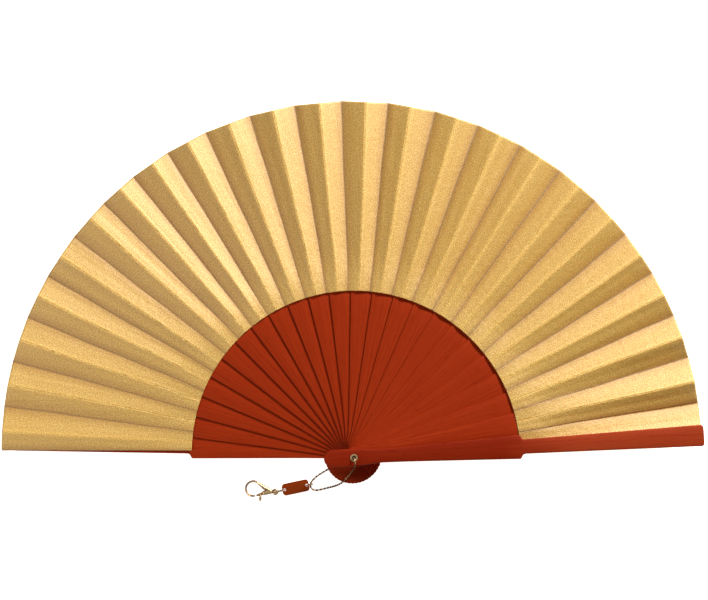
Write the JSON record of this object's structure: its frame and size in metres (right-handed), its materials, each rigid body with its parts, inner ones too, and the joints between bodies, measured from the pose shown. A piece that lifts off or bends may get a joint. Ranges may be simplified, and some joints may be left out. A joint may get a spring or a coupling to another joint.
{
  "type": "folding hand fan",
  "caption": "Open folding fan with a pleated metallic fabric leaf on stained wooden sticks, a hollow rivet, and a chain with a small tag and lobster clasp.",
  "frame": {"origin": "on the rivet's axis, at the plane that the rear guard's back lies on", "axes": "+Z along the rivet's axis, out of the fan's front; +Y from the rivet towards the middle of the open leaf; +X towards the front guard's tip"},
  "size_m": [0.4282, 0.2467, 0.0279],
  "materials": {
    "stained_wood": "satin red-brown stain",
    "tag_wood": "satin brown-orange stain",
    "gold_fabric": "metallic woven lame",
    "gold_metal": "polished pale gold plating"
  },
  "bodies": {
    "rear_guard": {"rear_guard": "stained_wood", "leaf_pleat_01": "gold_fabric", "rivet": "gold_metal", "rivet_washer": "gold_metal", "chain_in_rivet": "gold_metal", "chain_loop": "gold_metal", "chain_ring": "gold_metal"},
    "rib_01": {"rib_01": "stained_wood", "leaf_pleat_02": "gold_fabric"},
    "rib_02": {"rib_02": "stained_wood", "leaf_pleat_03": "gold_fabric"},
    "rib_03": {"rib_03": "stained_wood", "leaf_pleat_04": "gold_fabric"},
    "rib_04": {"rib_04": "stained_wood", "leaf_pleat_05": "gold_fabric"},
    "rib_05": {"rib_05": "stained_wood", "leaf_pleat_06": "gold_fabric"},
    "rib_06": {"rib_06": "stained_wood", "leaf_pleat_07": "gold_fabric"},
    "rib_07": {"rib_07": "stained_wood", "leaf_pleat_08": "gold_fabric"},
    "rib_08": {"rib_08": "stained_wood", "leaf_pleat_09": "gold_fabric"},
    "rib_09": {"rib_09": "stained_wood", "leaf_pleat_10": "gold_fabric"},
    "rib_10": {"rib_10": "stained_wood", "leaf_pleat_11": "gold_fabric"},
    "rib_11": {"rib_11": "stained_wood", "leaf_pleat_12": "gold_fabric"},
    "rib_12": {"rib_12": "stained_wood", "leaf_pleat_13": "gold_fabric"},
    "rib_13": {"rib_13": "stained_wood", "leaf_pleat_14": "gold_fabric"},
    "rib_14": {"rib_14": "stained_wood", "leaf_pleat_15": "gold_fabric"},
    "rib_15": {"rib_15": "stained_wood", "leaf_pleat_16": "gold_fabric"},
    "rib_16": {"rib_16": "stained_wood", "leaf_pleat_17": "gold_fabric"},
    "rib_17": {"rib_17": "stained_wood", "leaf_pleat_18": "gold_fabric"},
    "rib_18": {"rib_18": "stained_wood", "leaf_pleat_19": "gold_fabric"},
    "rib_19": {"rib_19": "stained_wood", "leaf_pleat_20": "gold_fabric"},
    "rib_20": {"rib_20": "stained_wood", "leaf_pleat_21": "gold_fabric"},
    "rib_21": {"rib_21": "stained_wood", "leaf_pleat_22": "gold_fabric"},
    "rib_22": {"rib_22": "stained_wood", "leaf_pleat_23": "gold_fabric"},
    "front_guard": {"front_guard": "stained_wood", "leaf_end": "gold_fabric"},
    "tag": {"tag": "tag_wood", "clasp_ring": "gold_metal"},
    "clasp": {"clasp_body": "gold_metal", "clasp_pin": "gold_metal"},
    "lever": {"clasp_lever": "gold_metal"}
  },
  "joints": [
    {"name": "fold_01", "type": "hinge", "parent": "rear_guard", "child": "rib_01", "pos_m": [0, 0, 0.012], "axis": [0, 0, 1], "range_deg": [0, 7.58], "deforming": ["leaf_pleat_01"]},
    {"name": "fold_02", "type": "hinge", "parent": "rib_01", "child": "rib_02", "pos_m": [0, 0, 0.012], "axis": [0, 0, 1], "range_deg": [0, 7.58], "deforming": ["leaf_pleat_02"]},
    {"name": "fold_03", "type": "hinge", "parent": "rib_02", "child": "rib_03", "pos_m": [0, 0, 0.012], "axis": [0, 0, 1], "range_deg": [0, 7.58], "deforming": ["leaf_pleat_03"]},
    {"name": "fold_04", "type": "hinge", "parent": "rib_03", "child": "rib_04", "pos_m": [0, 0, 0.012], "axis": [0, 0, 1], "range_deg": [0, 7.58], "deforming": ["leaf_pleat_04"]},
    {"name": "fold_05", "type": "hinge", "parent": "rib_04", "child": "rib_05", "pos_m": [0, 0, 0.012], "axis": [0, 0, 1], "range_deg": [0, 7.58], "deforming": ["leaf_pleat_05"]},
    {"name": "fold_06", "type": "hinge", "parent": "rib_05", "child": "rib_06", "pos_m": [0, 0, 0.012], "axis": [0, 0, 1], "range_deg": [0, 7.58], "deforming": ["leaf_pleat_06"]},
    {"name": "fold_07", "type": "hinge", "parent": "rib_06", "child": "rib_07", "pos_m": [0, 0, 0.012], "axis": [0, 0, 1], "range_deg": [0, 7.58], "deforming": ["leaf_pleat_07"]},
    {"name": "fold_08", "type": "hinge", "parent": "rib_07", "child": "rib_08", "pos_m": [0, 0, 0.012], "axis": [0, 0, 1], "range_deg": [0, 7.58], "deforming": ["leaf_pleat_08"]},
    {"name": "fold_09", "type": "hinge", "parent": "rib_08", "child": "rib_09", "pos_m": [0, 0, 0.012], "axis": [0, 0, 1], "range_deg": [0, 7.58], "deforming": ["leaf_pleat_09"]},
    {"name": "fold_10", "type": "hinge", "parent": "rib_09", "child": "rib_10", "pos_m": [0, 0, 0.012], "axis": [0, 0, 1], "range_deg": [0, 7.58], "deforming": ["leaf_pleat_10"]},
    {"name": "fold_11", "type": "hinge", "parent": "rib_10", "child": "rib_11", "pos_m": [0, 0, 0.012], "axis": [0, 0, 1], "range_deg": [0, 7.58], "deforming": ["leaf_pleat_11"]},
    {"name": "fold_12", "type": "hinge", "parent": "rib_11", "child": "rib_12", "pos_m": [0, 0, 0.012], "axis": [0, 0, 1], "range_deg": [0, 7.58], "deforming": ["leaf_pleat_12", "chain_loop"]},
    {"name": "fold_13", "type": "hinge", "parent": "rib_12", "child": "rib_13", "pos_m": [0, 0, 0.012], "axis": [0, 0, 1], "range_deg": [0, 7.58], "deforming": ["leaf_pleat_13"]},
    {"name": "fold_14", "type": "hinge", "parent": "rib_13", "child": "rib_14", "pos_m": [0, 0, 0.012], "axis": [0, 0, 1], "range_deg": [0, 7.58], "deforming": ["leaf_pleat_14"]},
    {"name": "fold_15", "type": "hinge", "parent": "rib_14", "child": "rib_15", "pos_m": [0, 0, 0.012], "axis": [0, 0, 1], "range_deg": [0, 7.58], "deforming": ["leaf_pleat_15"]},
    {"name": "fold_16", "type": "hinge", "parent": "rib_15", "child": "rib_16", "pos_m": [0, 0, 0.012], "axis": [0, 0, 1], "range_deg": [0, 7.58], "deforming": ["leaf_pleat_16"]},
    {"name": "fold_17", "type": "hinge", "parent": "rib_16", "child": "rib_17", "pos_m": [0, 0, 0.012], "axis": [0, 0, 1], "range_deg": [0, 7.58], "deforming": ["leaf_pleat_17"]},
    {"name": "fold_18", "type": "hinge", "parent": "rib_17", "child": "rib_18", "pos_m": [0, 0, 0.012], "axis": [0, 0, 1], "range_deg": [0, 7.58], "deforming": ["leaf_pleat_18"]},
    {"name": "fold_19", "type": "hinge", "parent": "rib_18", "child": "rib_19", "pos_m": [0, 0, 0.012], "axis": [0, 0, 1], "range_deg": [0, 7.58], "deforming": ["leaf_pleat_19"]},
    {"name": "fold_20", "type": "hinge", "parent": "rib_19", "child": "rib_20", "pos_m": [0, 0, 0.012], "axis": [0, 0, 1], "range_deg": [0, 7.58], "deforming": ["leaf_pleat_20"]},
    {"name": "fold_21", "type": "hinge", "parent": "rib_20", "child": "rib_21", "pos_m": [0, 0, 0.012], "axis": [0, 0, 1], "range_deg": [0, 7.58], "deforming": ["leaf_pleat_21"]},
    {"name": "fold_22", "type": "hinge", "parent": "rib_21", "child": "rib_22", "pos_m": [0, 0, 0.012], "axis": [0, 0, 1], "range_deg": [0, 7.58], "deforming": ["leaf_pleat_22"]},
    {"name": "fold_23", "type": "hinge", "parent": "rib_22", "child": "front_guard", "pos_m": [0, 0, 0.012], "axis": [0, 0, 1], "range_deg": [0, 7.58], "deforming": ["leaf_pleat_23", "leaf_end"]},
    {"name": "tag_swing", "type": "hinge", "parent": "rear_guard", "child": "tag", "pos_m": [-0.0295, -0.02035, 0.001], "axis": [0, 0, 1], "range_deg": [-10, 10]},
    {"name": "clasp_swing", "type": "hinge", "parent": "tag", "child": "clasp", "pos_m": [-0.04907, -0.0245, 0.0011], "axis": [0, 0, 1], "range_deg": [-35, 35]},
    {"name": "lever_press", "type": "hinge", "parent": "clasp", "child": "lever", "pos_m": [-0.05475, -0.02466, 0.0014], "axis": [0, 0, 1], "range_deg": [-22, 0], "stiffness_Nm_per_rad": 0.002, "springref_deg": 9.74}
  ],
  "couplings": [
    {"joint": "fold_02", "follows": "fold_01", "ratio": 1},
    {"joint": "fold_03", "follows": "fold_01", "ratio": 1},
    {"joint": "fold_04", "follows": "fold_01", "ratio": 1},
    {"joint": "fold_05", "follows": "fold_01", "ratio": 1},
    {"joint": "fold_06", "follows": "fold_01", "ratio": 1},
    {"joint": "fold_07", "follows": "fold_01", "ratio": 1},
    {"joint": "fold_08", "follows": "fold_01", "ratio": 1},
    {"joint": "fold_09", "follows": "fold_01", "ratio": 1},
    {"joint": "fold_10", "follows": "fold_01", "ratio": 1},
    {"joint": "fold_11", "follows": "fold_01", "ratio": 1},
    {"joint": "fold_12", "follows": "fold_01", "ratio": 1},
    {"joint": "fold_13", "follows": "fold_01", "ratio": 1},
    {"joint": "fold_14", "follows": "fold_01", "ratio": 1},
    {"joint": "fold_15", "follows": "fold_01", "ratio": 1},
    {"joint": "fold_16", "follows": "fold_01", "ratio": 1},
    {"joint": "fold_17", "follows": "fold_01", "ratio": 1},
    {"joint": "fold_18", "follows": "fold_01", "ratio": 1},
    {"joint": "fold_19", "follows": "fold_01", "ratio": 1},
    {"joint": "fold_20", "follows": "fold_01", "ratio": 1},
    {"joint": "fold_21", "follows": "fold_01", "ratio": 1},
    {"joint": "fold_22", "follows": "fold_01", "ratio": 1},
    {"joint": "fold_23", "follows": "fold_01", "ratio": 1}
  ]
}
